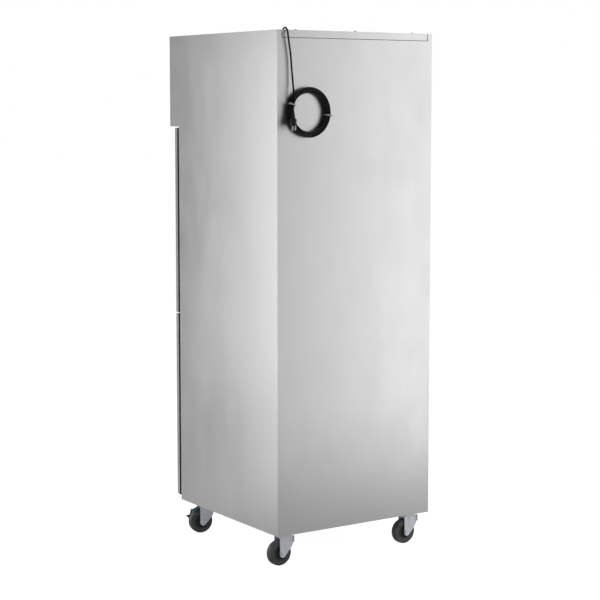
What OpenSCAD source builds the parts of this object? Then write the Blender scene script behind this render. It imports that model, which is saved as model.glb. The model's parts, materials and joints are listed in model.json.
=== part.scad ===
// Tall one-section proofing cabinet on casters: two half doors, a control head above
// them and a coiled mains lead hung behind.
// Origin: on the floor, in the middle of the footprint. +Z up, front towards -Y.

/* [Cabinet] */
// Width of the body over its side panels
body_w = 737; // [700:1:800]
// Depth of the body from its rear panel to the door frame
body_d = 754; // [720:1:800]
// Height of the body and its head above the casters
body_h = 1949; // [1900:1:2000]
// Height of the control head
head_h = 372; // [340:1:420]
// How far the head stands out over the doors
head_out = 72; // [66:1:90]
// Thickness of the outer sheet metal
sheet = 1.2; // [0.8:0.1:1.5]
// Thickness of the liner sheet
liner_t = 1; // [0.8:0.1:1.2]
// Thickness of the insulated walls
wall_t = 51; // [48:1:54]

/* [Doors] */
// Inset of the doors from the cabinet's sides
door_in = 14.5; // [14:0.5:18]
// Thickness of a door without its gasket
door_t = 50; // [46:1:54]
// Depth of the steel edge that wraps back from a door's face
door_wrap = 23; // [18:1:30]
// Thickness of the closed gasket
gasket_t = 12; // [10:1:14]
// Width of the gasket strip
gasket_w = 20; // [16:1:22]
// Clearance above, between and below the doors
door_gap = 6; // [5:1:8]
// Height of the lower door's bottom edge above the base
door_foot = 12; // [10:1:16]
// How far a handle stands out from the door
handle_out = 46; // [40:1:50]
// Length of a handle
handle_len = 260; // [200:10:320]

/* [Casters] */
// Diameter of a wheel
wheel_d = 100; // [96:1:102]
// Width of the wheel's tread
wheel_w = 32; // [30:1:34]
// Overall height of a caster
caster_h = 130; // [130:1:134]
// Distance from the swivel axis back to the axle
trail = 22; // [20:1:24]
// Swivel axis in from the cabinet's sides
caster_in = 64; // [60:1:70]
// Swivel axis in from the rear
caster_rear = 58; // [54:1:70]
// Swivel axis in from the door frame
caster_front = 90; // [80:1:100]
// Swivel angle at which the front casters stand
front_turn = 10; // [0:1:15]

/* [Inside] */
// Pairs of tray slides
slide_levels = 8; // [6:1:9]
// Diameter of the slide rod
rod_d = 8; // [6:1:8]
// Fan wheel radius
fan_r = 80; // [70:1:85]

/* [Mains lead] */
// Diameter of the lead
cord_d = 7; // [6.5:0.5:7.5]
// Radius of the coil at the middle of its turns
coil_r = 85; // [82:1:88]
// Radial width of the coiled bundle
bundle_w = 26; // [24:1:28]
// Depth of the coiled bundle, front to back
bundle_t = 18; // [16:1:18]

/* [Hidden] */
$fn = 64;
half_w = body_w / 2;
rear_y = (body_d + gasket_t + door_t + handle_out) / 2;
frame_y = rear_y - body_d;
door_back = frame_y - gasket_t;
door_face = door_back - door_t;
head_y = frame_y - head_out;
base_z = caster_h;
top_z = base_z + body_h;
head_z = top_z - head_h;

// Cavity and its frame
cav_x = half_w - wall_t;
frame_t = 30;
cav_y0 = frame_y + frame_t;
cav_y1 = rear_y - wall_t - 2;
cav_z0 = base_z + 60;
cav_z1 = head_z - 52;
pan_t = 2;

// Doors
door_x = half_w - door_in;
door_z0 = base_z + door_foot;
door_h = (head_z - door_gap - door_z0 - door_gap) / 2;
door_z1 = door_z0 + door_h + door_gap;
mullion_z = door_z0 + door_h + door_gap / 2;
mullion_h = 86;

// Hinges, on the left edge as seen from the front
pin_r = 4;
run = 0.05;
knuckle_r = 6.5;
hinge_x = -half_w + 7.5;
hinge_y = door_face;
hinge_h = 60;
hinge_in = 70;
leaf_t = 4;

// Top cover, its rear skirt and screws
skirt_in = 20.5;
skirt_h = 30;
joggle = 8;
screw_x = [-278, 0, 278];
screw_y = rear_y - 12;
screw_r = 2.4;
gland_pos = [320, rear_y - 36];
gland_r = 7;

// Fan, its heater and baffle
fan_y = 60;
shaft_r = 5;
shaft_hole = 12;
baffle_z = cav_z1 - 66;
baffle_x = 290;

// Controls on the head's front
panel_z = head_z + 190;
knob_r = 21;
knob_x = [90, 190];
switch_x = 270;
display_x = -60;
lamp_x = [-160, -190];
rocker_r = 13;
rocker_y = head_y + 8;

// Casters: x, y and the direction in which each one trails
wheel_r = wheel_d / 2;
cast_x = half_w - caster_in;
cast_rear = rear_y - caster_rear;
cast_front = frame_y + caster_front;
leg_t = 3;
leg_y = wheel_w / 2 + 3;
pivot = [23, 107.3];
pivot_r = 3;

// Lead: where the coil hangs, the plug below its left side and the hand-set route
coil_c = [233, rear_y + 14, 1768];
plug_c = [319, rear_y + 36.5, 1718];
plug_r = 13;
plug_len = 26;
tie_angles = [20, 187];
route = [
    [320, 396, 2080], [321, 402, 2084], [322, 411, 2087], [324, 421, 2087],
    [326, 430, 2084], [327, 437, 2078], [328, 442, 2070], [328, 444, 2058],
    [325, 444, 2040], [321, 444, 2015], [317, 444, 1990], [314, 444, 1960],
    [312, 445, 1930], [310, 447, 1900], [309, 450, 1870], [309, 454, 1845],
    [309, 457, 1825], [308, 457, 1810]
];
tail = [[314, 459, 1800], [318, 464, 1785], [319, 467, 1768]];

// A box between two opposite corners
module box(lo, hi) {
    translate(lo) cube(hi - lo);
}

// A flat outline of [y, z] points, thickened along X from x
module slab_x(x, t) {
    translate([x, 0, 0]) rotate([90, 0, 90]) linear_extrude(t) children();
}

// A flat outline of [x, z] points, thickened along Y from y
module slab_y(y, t) {
    translate([0, y + t, 0]) rotate([90, 0, 0]) linear_extrude(t) children();
}

// A cylinder along Y from y0 to y1
module rod_y(x, z, r, y0, y1) {
    translate([x, y0, z]) rotate([-90, 0, 0]) cylinder(h = y1 - y0, r = r);
}

// Puts children at a caster's swivel axis, trailing towards angle a
module at_caster(x, y, a) {
    translate([x, y, 0]) rotate([0, 0, a]) children();
}

// ---- outer shell ----

module side_panel(side) {
    mirror([side < 0 ? 1 : 0, 0, 0]) {
        slab_x(half_w - sheet, sheet) polygon([
            [rear_y, base_z], [rear_y, top_z], [head_y, top_z], [head_y, head_z],
            [frame_y, head_z], [frame_y, base_z]
        ]);
        box([half_w - skirt_in, head_y + sheet, top_z - sheet],
            [half_w - sheet, rear_y - sheet, top_z]);
    }
}
module side_panel_right() {
    color("silver") side_panel(1);
}
module side_panel_left() {
    color("silver") side_panel(-1);
}

module rear_panel() {
    x = half_w - sheet;
    notch = half_w - skirt_in;
    step_z = top_z - skirt_h - 10;
    color("silver") difference() {
        union() {
            slab_y(rear_y - sheet, sheet) polygon([
                [-x, base_z], [x, base_z], [x, top_z - sheet], [notch, top_z - sheet],
                [notch, top_z - skirt_h], [-notch, top_z - skirt_h],
                [-notch, top_z - sheet], [-x, top_z - sheet]
            ]);
            box([-notch, rear_y - joggle, step_z], [notch, rear_y - sheet, step_z + sheet]);
            box([-notch, rear_y - joggle - sheet, step_z],
                [notch, rear_y - joggle, top_z - sheet]);
            box([-notch, rear_y - 30, top_z - 2 * sheet],
                [notch, rear_y - joggle, top_z - sheet]);
        }
        for (x = screw_x)
            translate([x, screw_y, top_z - 10]) cylinder(h = 12, r = screw_r);
        translate([gland_pos.x, gland_pos.y, top_z - 10]) cylinder(h = 12, r = gland_r + 2);
    }
}

module base_pan() {
    color("gainsboro") difference() {
        box([-half_w + sheet, frame_y, base_z], [half_w - sheet, rear_y - sheet, base_z + pan_t]);
        caster_bolt_places() translate([0, 0, base_z - 1]) cylinder(h = pan_t + 2, r = 4);
    }
}

module top_cover() {
    x = half_w - skirt_in - 0.5;
    color("silver") difference() {
        union() {
            box([-x, head_y, top_z - sheet], [x, rear_y, top_z]);
            box([-x + 2.5, rear_y - sheet, top_z - skirt_h + 2], [x - 2.5, rear_y, top_z]);
        }
        for (x = screw_x)
            translate([x, screw_y, top_z - 5]) cylinder(h = 10, r = screw_r);
        translate([gland_pos.x, gland_pos.y, top_z - 5]) cylinder(h = 10, r = gland_r);
    }
}

module top_cover_screws() {
    color("silver") for (x = screw_x) translate([x, screw_y, 0]) {
        translate([0, 0, top_z]) cylinder(h = 3, r1 = 5, r2 = 3.8);
        translate([0, 0, top_z - 12]) cylinder(h = 12.1, r = screw_r);
    }
}

module control_fascia() {
    color("silver") difference() {
        slab_y(head_y, sheet) polygon([
            [-half_w + sheet, head_z], [half_w - sheet, head_z],
            [half_w - sheet, top_z - sheet], [-half_w + sheet, top_z - sheet]
        ]);
        box([display_x - 50, head_y - 1, panel_z - 22], [display_x + 50, head_y + 3, panel_z + 22]);
        box([switch_x - 10, head_y - 1, panel_z - 12], [switch_x + 10, head_y + 3, panel_z + 12]);
        for (x = knob_x) rod_y(x, panel_z, 4, head_y - 1, head_y + 3);
        for (x = lamp_x) rod_y(x, panel_z, 5, head_y - 1, head_y + 3);
    }
}

module head_deck() {
    color("silver") difference() {
        box([-half_w + sheet, head_y + sheet, head_z], [half_w - sheet, rear_y - sheet, head_z + sheet]);
        translate([0, fan_y, head_z - 1]) cylinder(h = 5, r = shaft_hole);
    }
}

// ---- insulated cavity ----

module liner_walls() {
    color("gainsboro") {
        for (s = [0, 1]) mirror([s, 0, 0])
            box([cav_x, cav_y0, cav_z0], [cav_x + liner_t, cav_y1 - 0.2, cav_z1]);
        box([-cav_x - liner_t, cav_y1, cav_z0], [cav_x + liner_t, cav_y1 + liner_t, cav_z1]);
    }
}

module liner_ceiling() {
    color("gainsboro") difference() {
        box([-cav_x - liner_t, cav_y0, cav_z1], [cav_x + liner_t, cav_y1 + liner_t, cav_z1 + liner_t]);
        translate([0, fan_y, cav_z1 - 1]) cylinder(h = 5, r = shaft_hole);
    }
}

module liner_floor() {
    color("gainsboro") box([-cav_x - liner_t, cav_y0, cav_z0 - liner_t],
                           [cav_x + liner_t, cav_y1 + liner_t, cav_z0]);
}

module insulation() {
    color("khaki") difference() {
        box([-half_w + sheet, cav_y0, base_z + pan_t], [half_w - sheet, rear_y - sheet, head_z]);
        box([-cav_x - liner_t, cav_y0 - 1, cav_z0 - liner_t],
            [cav_x + liner_t, cav_y1 + liner_t, cav_z1 + liner_t]);
        translate([0, fan_y, cav_z1]) cylinder(h = wall_t + 10, r = shaft_hole);
        caster_bolt_places() translate([0, 0, base_z]) cylinder(h = 20, r = 8);
    }
}

module door_jambs() {
    color("silver") for (s = [0, 1]) mirror([s, 0, 0])
        box([cav_x, frame_y, base_z + pan_t], [half_w - sheet, cav_y0, head_z]);
}

module frame_rails() {
    color("silver") for (z = [
        [base_z + pan_t, cav_z0],
        [mullion_z - mullion_h / 2, mullion_z + mullion_h / 2],
        [cav_z1, head_z]
    ]) box([-cav_x, frame_y, z[0]], [cav_x, cav_y0, z[1]]);
}

upright_y = [cav_y0 + 50, cav_y1 - 80];
upright_w = 30;
upright_t = 12;
slide_z0 = cav_z0 + 90;
slide_pitch = (baffle_z - 90 - slide_z0) / (slide_levels - 1);

module rack_uprights() {
    color("silver") for (s = [0, 1], y = upright_y) mirror([s, 0, 0])
        box([cav_x - upright_t, y, cav_z0 + 10], [cav_x, y + upright_w, baffle_z - 20]);
}

// One bent-rod slide: out of the front upright, along the cavity, back into the rear one
module tray_slide(z) {
    bend = 20;
    x1 = cav_x - upright_t;
    x0 = 228;
    y0 = upright_y[0] + upright_w / 2;
    y1 = upright_y[1] + upright_w / 2;
    translate([0, 0, z]) {
        rod_y(x0, 0, rod_d / 2, y0 + bend, y1 - bend);
        for (y = [y0, y1])
            translate([x0 + bend, y, 0]) rotate([0, 90, 0]) cylinder(h = x1 - x0 - bend, r = rod_d / 2);
        translate([x0 + bend, y0 + bend, 0]) rotate([0, 0, 180])
            rotate_extrude(angle = 90) translate([bend, 0]) circle(r = rod_d / 2);
        translate([x0 + bend, y1 - bend, 0]) rotate([0, 0, 90])
            rotate_extrude(angle = 90) translate([bend, 0]) circle(r = rod_d / 2);
    }
}
module tray_slides() {
    color("gainsboro") for (s = [0, 1], i = [0:slide_levels - 1])
        mirror([s, 0, 0]) tray_slide(slide_z0 + i * slide_pitch);
}

// ---- heat, humidity and air ----

module air_baffle() {
    y0 = cav_y0 + 60;
    y1 = cav_y1 - 40;
    color("gainsboro") difference() {
        union() {
            box([-baffle_x, y0, baffle_z], [baffle_x, y1, baffle_z + sheet]);
            for (x = [-baffle_x, baffle_x - sheet])
                box([x, y0, baffle_z], [x + sheet, y1, cav_z1]);
        }
        for (i = [-4:4])
            box([i * 18 - 4, fan_y - 70, baffle_z - 1], [i * 18 + 4, fan_y + 70, baffle_z + 3]);
    }
}

module heater_coil() {
    ring_r = fan_r + 28;
    color("dimgray") {
        translate([0, fan_y, cav_z1 - 30]) rotate_extrude() translate([ring_r, 0]) circle(r = 4.5);
        for (x = [-ring_r, ring_r])
            translate([x, fan_y, cav_z1 - 30]) cylinder(h = 30, r = 4.5);
    }
}

module fan_motor() {
    color("dimgray") difference() {
        translate([0, fan_y, head_z + sheet]) {
            cylinder(h = 4, r = 62);
            cylinder(h = 90, r = 48);
            cylinder(h = 98, r = 20);
        }
        translate([0, fan_y, head_z]) cylinder(h = 50, r = shaft_r + run);
    }
}

module fan_wheel() {
    z0 = cav_z1 - 52;
    color("silver") translate([0, fan_y, 0]) {
        translate([0, 0, z0]) cylinder(h = head_z + 45 - z0, r = shaft_r);
        translate([0, 0, z0]) cylinder(h = 42, r = 12);
        translate([0, 0, z0 + 40]) cylinder(h = 2, r = fan_r);
        for (i = [0:11]) rotate([0, 0, i * 30])
            translate([fan_r - 30, 0, z0]) rotate([0, 0, 35]) cube([28, 1.5, 41]);
    }
}

module water_pan() {
    x = 200;
    y0 = cav_y1 - 330;
    y1 = cav_y1 - 30;
    color("silver") difference() {
        box([-x, y0, cav_z0], [x, y1, cav_z0 + 60]);
        box([-x + 1.5, y0 + 1.5, cav_z0 + 1.5], [x - 1.5, y1 - 1.5, cav_z0 + 61]);
    }
}

module control_box() {
    x0 = -320;
    x1 = -80;
    y0 = head_y + 60;
    z0 = head_z + sheet;
    color("gray") difference() {
        box([x0, y0, z0], [x1, y0 + 160, z0 + 200]);
        box([x0 + 1.5, y0 - 1, z0 + 1.5], [x1 - 1.5, y0 + 158.5, z0 + 198.5]);
    }
}

// ---- controls ----

module display_window() {
    color("black") box([display_x - 50, head_y - 1.5, panel_z - 22],
                       [display_x + 50, head_y + 3, panel_z + 22]);
}

module pilot_lamps() {
    color("orange") for (x = lamp_x) {
        rod_y(x, panel_z, 5, head_y - 1, head_y + 14);
        intersection() {
            translate([x, head_y - 1, panel_z]) sphere(r = 5);
            box([x - 6, head_y - 7, panel_z - 6], [x + 6, head_y, panel_z + 6]);
        }
    }
}

// A rocker that turns in its seat, with one flat face tipped to the off side
module power_switch() {
    tip = 8;
    color("black") difference() {
        rod_x(switch_x, rocker_y, panel_z, rocker_r, 18);
        translate([switch_x, rocker_y, panel_z]) rotate([tip, 0, 0])
            translate([-15, -30, -20]) cube([30, 21, 40]);
    }
}
module rod_x(x, y, z, r, len) {
    translate([x - len / 2, y, z]) rotate([0, 90, 0]) cylinder(h = len, r = r);
}

module knob(x) {
    difference() {
        union() {
            rod_y(x, panel_z, knob_r, head_y - 22, head_y - 2);
            rod_y(x, panel_z, 3.7, head_y - 2, head_y + 20);
            box([x - 3, head_y - 25, panel_z - 2], [x + 3, head_y - 20, panel_z + knob_r - 1]);
        }
        for (i = [0:11]) rotate_about_y(x, panel_z, i * 30)
            rod_y(x + knob_r + 2, panel_z, 4, head_y - 30, head_y - 8);
    }
}
module rotate_about_y(x, z, a) {
    translate([x, 0, z]) rotate([0, a, 0]) translate([-x, 0, -z]) children();
}
module temperature_knob() {
    color("black") knob(knob_x[0]);
}
module humidity_knob() {
    color("black") knob(knob_x[1]);
}

// ---- hinges ----

hinge_zs = [
    door_z0 + hinge_in, door_z0 + door_h - hinge_in - hinge_h,
    door_z1 + hinge_in, door_z1 + door_h - hinge_in - hinge_h
];

// Body leaf: on the door frame, forward beside the door's edge, up to the outer knuckles
module hinge_leaves() {
    color("silver") for (z = hinge_zs) difference() {
        union() {
            box([-half_w, hinge_y, z], [-half_w + 3, frame_y, z + hinge_h]);
            box([-half_w, frame_y - leaf_t, z], [-door_x, frame_y, z + hinge_h]);
            for (k = [0, 2]) translate([hinge_x, hinge_y, z + k * hinge_h / 3]) {
                cylinder(h = hinge_h / 3, r = knuckle_r);
                box([-half_w - hinge_x, 0, 0], [0, knuckle_r, hinge_h / 3]);
            }
        }
        translate([hinge_x - knuckle_r - 1, hinge_y - knuckle_r - 1, z + hinge_h / 3 - 0.4])
            cube([2 * knuckle_r + 2, 2 * knuckle_r + 2.6, hinge_h / 3 + 0.8]);
        translate([hinge_x, hinge_y, z - 1]) cylinder(h = hinge_h + 2, r = pin_r);
    }
}

module hinge_pins() {
    color("silver") for (z = hinge_zs) translate([hinge_x, hinge_y, z - 2]) {
        cylinder(h = hinge_h + 2, r = pin_r);
        cylinder(h = 2, r = pin_r + 2);
    }
}

// Door leaf: the middle knuckle and the plate on the door's face
module door_hinge(zs) {
    color("silver") for (z = zs) difference() {
        union() {
            translate([hinge_x, hinge_y, z + hinge_h / 3]) cylinder(h = hinge_h / 3, r = knuckle_r);
            box([hinge_x, door_face - leaf_t, z + hinge_h / 3],
                [-door_x + 4, door_face, z + 2 * hinge_h / 3]);
            box([-door_x + 3, door_face - leaf_t, z], [-door_x + 50, door_face, z + hinge_h]);
        }
        translate([hinge_x, hinge_y, z]) cylinder(h = hinge_h, r = pin_r + run);
    }
}
module upper_door_hinge() {
    door_hinge([hinge_zs[2], hinge_zs[3]]);
}
module lower_door_hinge() {
    door_hinge([hinge_zs[0], hinge_zs[1]]);
}

// ---- doors ----

module door_skin(z) {
    color("silver") difference() {
        box([-door_x, door_face, z], [door_x, door_face + door_wrap, z + door_h]);
        box([-door_x + sheet, door_face + sheet, z + sheet],
            [door_x - sheet, door_back, z + door_h - sheet]);
    }
}

// Plastic rear half: side walls behind the steel edge and a raised panel inside the gasket
module door_liner(z) {
    y0 = door_face + door_wrap;
    wall = 2;
    inset = gasket_w + 14;
    color("black") difference() {
        union() {
            box([-door_x, y0, z], [door_x, door_back, z + door_h]);
            box([-door_x + inset, door_back, z + inset],
                [door_x - inset, door_back + gasket_t - 2, z + door_h - inset]);
        }
        box([-door_x + wall, y0 - 1, z + wall],
            [door_x - wall, door_back - wall, z + door_h - wall]);
    }
}

module door_core(z) {
    color("khaki") {
        box([-door_x + sheet, door_face + sheet, z + sheet],
            [door_x - sheet, door_face + door_wrap, z + door_h - sheet]);
        box([-door_x + 2, door_face + sheet, z + 2],
            [door_x - 2, door_back - 2, z + door_h - 2]);
    }
}

module door_gasket(z) {
    edge = 2;
    x = door_x - edge;
    left = hinge_x + 8;
    color("black") difference() {
        box([left, door_back, z + edge], [x, frame_y, z + door_h - edge]);
        box([left + gasket_w, door_back - 1, z + edge + gasket_w],
            [x - gasket_w, frame_y + 1, z + door_h - edge - gasket_w]);
    }
}

// Bow handle: a round grip on two round posts
module door_handle(z) {
    x = door_x - 60;
    grip_r = 9;
    y = door_face - handle_out + grip_r;
    color("silver") {
        translate([x, y, z]) cylinder(h = handle_len, r = grip_r);
        for (s = [25, handle_len - 25]) rod_y(x, z + s, 7, y, door_face);
    }
}

module upper_door_skin() {
    door_skin(door_z1);
}
module upper_door_liner() {
    door_liner(door_z1);
}
module upper_door_core() {
    door_core(door_z1);
}
module upper_door_gasket() {
    door_gasket(door_z1);
}
module upper_door_handle() {
    door_handle(door_z1 + 60);
}
module lower_door_skin() {
    door_skin(door_z0);
}
module lower_door_liner() {
    door_liner(door_z0);
}
module lower_door_core() {
    door_core(door_z0);
}
module lower_door_gasket() {
    door_gasket(door_z0);
}
module lower_door_handle() {
    door_handle(door_z0 + door_h - 60 - handle_len);
}

// ---- casters ----

plate_x = 46;
plate_y = 35;
bolt_x = 36;
bolt_y = 25;

module caster_places() {
    for (sx = [-1, 1], y = [cast_rear, cast_front]) translate([sx * cast_x, y, 0]) children();
}
module caster_bolt_places() {
    caster_places() for (x = [-bolt_x, bolt_x], y = [-bolt_y, bolt_y]) translate([x, y, 0]) children();
}

// Top plate, raceway hub and king pin of each caster
module caster_plates() {
    z = caster_h;
    color("lightsteelblue") caster_places() difference() {
        union() {
            box([-plate_x, -plate_y, z - 3], [plate_x, plate_y, z]);
            translate([0, 0, z - 9.5]) cylinder(h = 9.5, r = 24);
            translate([0, 0, z - 22]) cylinder(h = 22, r = 5);
            translate([0, 0, z - 23.5]) cylinder(h = 5, r = 8);
        }
        for (x = [-bolt_x, bolt_x], y = [-bolt_y, bolt_y])
            translate([x, y, z - 5]) cylinder(h = 10, r = 4);
    }
}

module caster_bolts() {
    z = caster_h;
    color("silver") caster_bolt_places() {
        translate([0, 0, z - 8.5]) cylinder(h = 5.5, r = 6.5, $fn = 6);
        translate([0, 0, z - 4]) cylinder(h = 14, r = 4);
        translate([0, 0, z + pan_t]) cylinder(h = 6, r = 6.5, $fn = 6);
    }
}

// Outline of a fork leg: upright on the trailing side, slanted on the other
module leg_outline() {
    toe = [trail - 6, wheel_r - 4];
    toe_r = 13.5;
    polygon([
        [toe.x + toe_r, caster_h - 12], [-32, caster_h - 12], [-32, 90], [-26, 73],
        toe - [toe_r, toe_r] * sin(45), toe, toe + [toe_r, 0]
    ]);
    translate(toe) circle(r = toe_r);
}

module fork(braked) {
    crown_z = caster_h - 16;
    color("lightsteelblue") difference() {
        union() {
            for (y = [-leg_y - leg_t, leg_y]) slab_y(y, leg_t) leg_outline();
            for (y = [-leg_y - leg_t - 7, leg_y])
                box([-33, y, 90], [-30.5, y + leg_t + 7, caster_h - 12]);
            box([-25, -leg_y - 1, crown_z], [braked ? 20 : 29, leg_y + 1, crown_z + 4]);
            translate([0, 0, crown_z]) cylinder(h = 8, r = 31);
            rod_y(trail, wheel_r, 5, -leg_y - leg_t - 6, leg_y + leg_t + 6);
            for (y = [-leg_y - leg_t - 5, leg_y + leg_t])
                translate([trail, y, wheel_r]) rotate([-90, 0, 0]) cylinder(h = 5, r = 8, $fn = 6);
            if (braked) rod_y(pivot.x, pivot.y, pivot_r, -leg_y - 1, leg_y + 1);
        }
        translate([0, 0, crown_z + 4]) cylinder(h = 20, r = 25);
        translate([0, 0, crown_z - 1]) cylinder(h = 10, r = 5 + run);
    }
}

// Wheel in half section: a rounded tread, dished faces and a boss round the axle bore
module wheel() {
    w = wheel_w / 2;
    boss = leg_y - 0.5;
    edge = 5;
    color("dimgray") translate([trail, 0, wheel_r]) rotate([-90, 0, 0]) rotate_extrude() {
        difference() {
            polygon([
                [5 + run, -boss], [12, -boss], [13, -w + 6], [30, -w + 5], [34, -w],
                [wheel_r - edge, -w], [wheel_r, -w + edge], [wheel_r, w - edge],
                [wheel_r - edge, w], [34, w], [30, w - 5], [13, w - 6], [12, boss],
                [5 + run, boss]
            ]);
        }
        for (s = [-1, 1]) intersection() {
            translate([wheel_r - edge, s * (w - edge)]) circle(r = edge);
            translate([wheel_r - edge, s > 0 ? w - edge : -w]) square([edge, edge]);
        }
    }
}

// Brake pedal: a plate over the wheel and a toe lever beside it
module pedal(side) {
    slope = 24;
    low = 2.4;
    high = 4.8;
    reach = 39.5;
    inner = side * 18;
    outer = side * 23;
    color("steelblue") difference() {
        union() {
            rod_y(pivot.x, pivot.y, 5.8, -14, 14);
            translate([pivot.x, 0, pivot.y]) rotate([0, slope, 0]) {
                box([1, -13, low], [reach, 13, high]);
                box([29, min(side * 8, outer), low], [reach, max(side * 8, outer), high]);
            }
            slab_y(min(inner, outer), abs(outer - inner)) polygon([
                [50, 98], [59, 94], [60, 85], [62, 78], [66, 74], [79, 73], [79, 69],
                [72, 66], [67, 60], [62, 58], [58, 66], [55, 76], [50, 87]
            ]);
        }
        rod_y(pivot.x, pivot.y, pivot_r + run, -40, 40);
    }
}

module rear_right_fork() {
    at_caster(cast_x, cast_rear, 0) fork(false);
}
module rear_right_wheel() {
    at_caster(cast_x, cast_rear, 0) wheel();
}
module rear_left_fork() {
    at_caster(-cast_x, cast_rear, 0) fork(false);
}
module rear_left_wheel() {
    at_caster(-cast_x, cast_rear, 0) wheel();
}
module front_right_fork() {
    at_caster(cast_x, cast_front, -front_turn) fork(true);
}
module front_right_wheel() {
    at_caster(cast_x, cast_front, -front_turn) wheel();
}
module front_right_pedal() {
    at_caster(cast_x, cast_front, -front_turn) pedal(-1);
}
module front_left_fork() {
    at_caster(-cast_x, cast_front, 180 + front_turn) fork(true);
}
module front_left_wheel() {
    at_caster(-cast_x, cast_front, 180 + front_turn) wheel();
}
module front_left_pedal() {
    at_caster(-cast_x, cast_front, 180 + front_turn) pedal(1);
}

// ---- mains lead ----

function unit(v) = v / norm(v);
function direction(p, i) = unit(p[min(i + 1, len(p) - 1)] - p[max(i - 1, 0)]);

// One closed tube of round section along a list of points
module swept_tube(path, r, sides) {
    rings = len(path);
    points = [for (i = [0:rings - 1])
        let (t = direction(path, i), a = unit(cross(t, [1, 0, 0])), b = cross(t, a))
        for (k = [0:sides - 1])
            path[i] + r * (a * cos(360 * k / sides) + b * sin(360 * k / sides))];
    sides_faces = [for (i = [0:rings - 2], k = [0:sides - 1])
        let (n = (k + 1) % sides)
        [i * sides + k, i * sides + n, (i + 1) * sides + n, (i + 1) * sides + k]];
    start = [for (k = [sides - 1:-1:0]) k];
    end = [for (k = [0:sides - 1]) (rings - 1) * sides + k];
    polyhedron(points, concat(sides_faces, [start, end]));
}

module cord_gland() {
    color("black") translate([gland_pos.x, gland_pos.y, top_z]) {
        cylinder(h = 2, r = gland_r + 3);
        translate([0, 0, -3]) cylinder(h = 3, r = gland_r);
        translate([0, 0, -33]) cylinder(h = 30, r1 = 4.6, r2 = gland_r);
    }
}

module cord_tube() {
    color("black") swept_tube(route, cord_d / 2, 10);
}

module cord_tail() {
    color("black") swept_tube(tail, cord_d / 2, 10);
}

// Section of the bundle: a flat oval, grown by g all round
module bundle_section(g) {
    r = bundle_t / 2;
    side = (bundle_w - bundle_t) / 2;
    for (s = [-1, 1]) translate([s * side, 0]) circle(r = r + g);
    square([2 * side, bundle_t + 2 * g], center = true);
}

module cord_coil() {
    color("black") translate(coil_c) rotate([90, 0, 0]) rotate_extrude()
        translate([coil_r, 0]) bundle_section(0);
}

module cord_ties() {
    color("lightgray") for (a = tie_angles)
        translate(coil_c) rotate([0, -a, 0]) translate([coil_r, 0, -2])
            linear_extrude(4) difference() {
                bundle_section(1.6);
                bundle_section(0);
            }
}

module plug_body() {
    color("black") translate(plug_c) {
        cylinder(h = plug_len, r = plug_r);
        translate([0, 0, plug_len]) cylinder(h = 24, r1 = 9, r2 = 4.5);
    }
}

module plug_blades() {
    blade_w = 6.3;
    ground_off = 11.9;
    y = 3;
    color("silver") translate(plug_c) {
        for (x = [-6.35, 6.35]) box([x - 0.75, y - blade_w / 2, -17], [x + 0.75, y + blade_w / 2, 0]);
        translate([0, y - ground_off, -20]) cylinder(h = 20, r = 2.4);
    }
}

side_panel_right();
side_panel_left();
rear_panel();
base_pan();
top_cover();
top_cover_screws();
control_fascia();
head_deck();
liner_walls();
liner_ceiling();
liner_floor();
insulation();
door_jambs();
frame_rails();
rack_uprights();
tray_slides();
air_baffle();
heater_coil();
fan_motor();
fan_wheel();
water_pan();
control_box();
display_window();
pilot_lamps();
power_switch();
temperature_knob();
humidity_knob();
hinge_leaves();
hinge_pins();
upper_door_skin();
upper_door_liner();
upper_door_core();
upper_door_gasket();
upper_door_handle();
upper_door_hinge();
lower_door_skin();
lower_door_liner();
lower_door_core();
lower_door_gasket();
lower_door_handle();
lower_door_hinge();
caster_plates();
caster_bolts();
rear_right_fork();
rear_right_wheel();
rear_left_fork();
rear_left_wheel();
front_right_fork();
front_right_wheel();
front_right_pedal();
front_left_fork();
front_left_wheel();
front_left_pedal();
cord_gland();
cord_tube();
cord_coil();
cord_tail();
cord_ties();
plug_body();
plug_blades();
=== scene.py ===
import json
import math

import bmesh
import bpy
from mathutils import Matrix, Vector, noise


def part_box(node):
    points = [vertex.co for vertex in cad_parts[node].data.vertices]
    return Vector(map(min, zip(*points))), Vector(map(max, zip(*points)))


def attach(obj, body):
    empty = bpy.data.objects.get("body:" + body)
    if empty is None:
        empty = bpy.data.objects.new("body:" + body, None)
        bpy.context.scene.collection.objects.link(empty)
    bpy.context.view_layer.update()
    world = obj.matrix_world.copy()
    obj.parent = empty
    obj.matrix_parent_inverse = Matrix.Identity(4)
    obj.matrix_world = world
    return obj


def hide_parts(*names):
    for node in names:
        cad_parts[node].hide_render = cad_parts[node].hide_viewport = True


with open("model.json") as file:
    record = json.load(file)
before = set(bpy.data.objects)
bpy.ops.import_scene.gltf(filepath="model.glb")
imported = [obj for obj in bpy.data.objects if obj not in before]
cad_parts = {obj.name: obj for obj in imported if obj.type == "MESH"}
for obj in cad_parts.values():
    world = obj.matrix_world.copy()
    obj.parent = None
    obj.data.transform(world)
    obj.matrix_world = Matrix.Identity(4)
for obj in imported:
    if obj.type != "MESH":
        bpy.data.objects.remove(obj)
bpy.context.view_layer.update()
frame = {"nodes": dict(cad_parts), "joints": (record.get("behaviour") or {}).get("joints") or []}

MM = 0.001
NODES = frame["nodes"]
UP = Vector((0, 0, 1))


def corners(node):
    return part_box(node)


# ---- sizes taken from the frame ----

rear_low, rear_high = corners("rear_panel")
side_low, side_high = corners("side_panel_right")
REAR_Y = rear_high.y
TOP_Z = side_high.z
HALF_W = side_high.x
HEAD_Y = side_low.y
BASE_Z = side_low.z


# ---- mesh helpers ----

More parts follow.
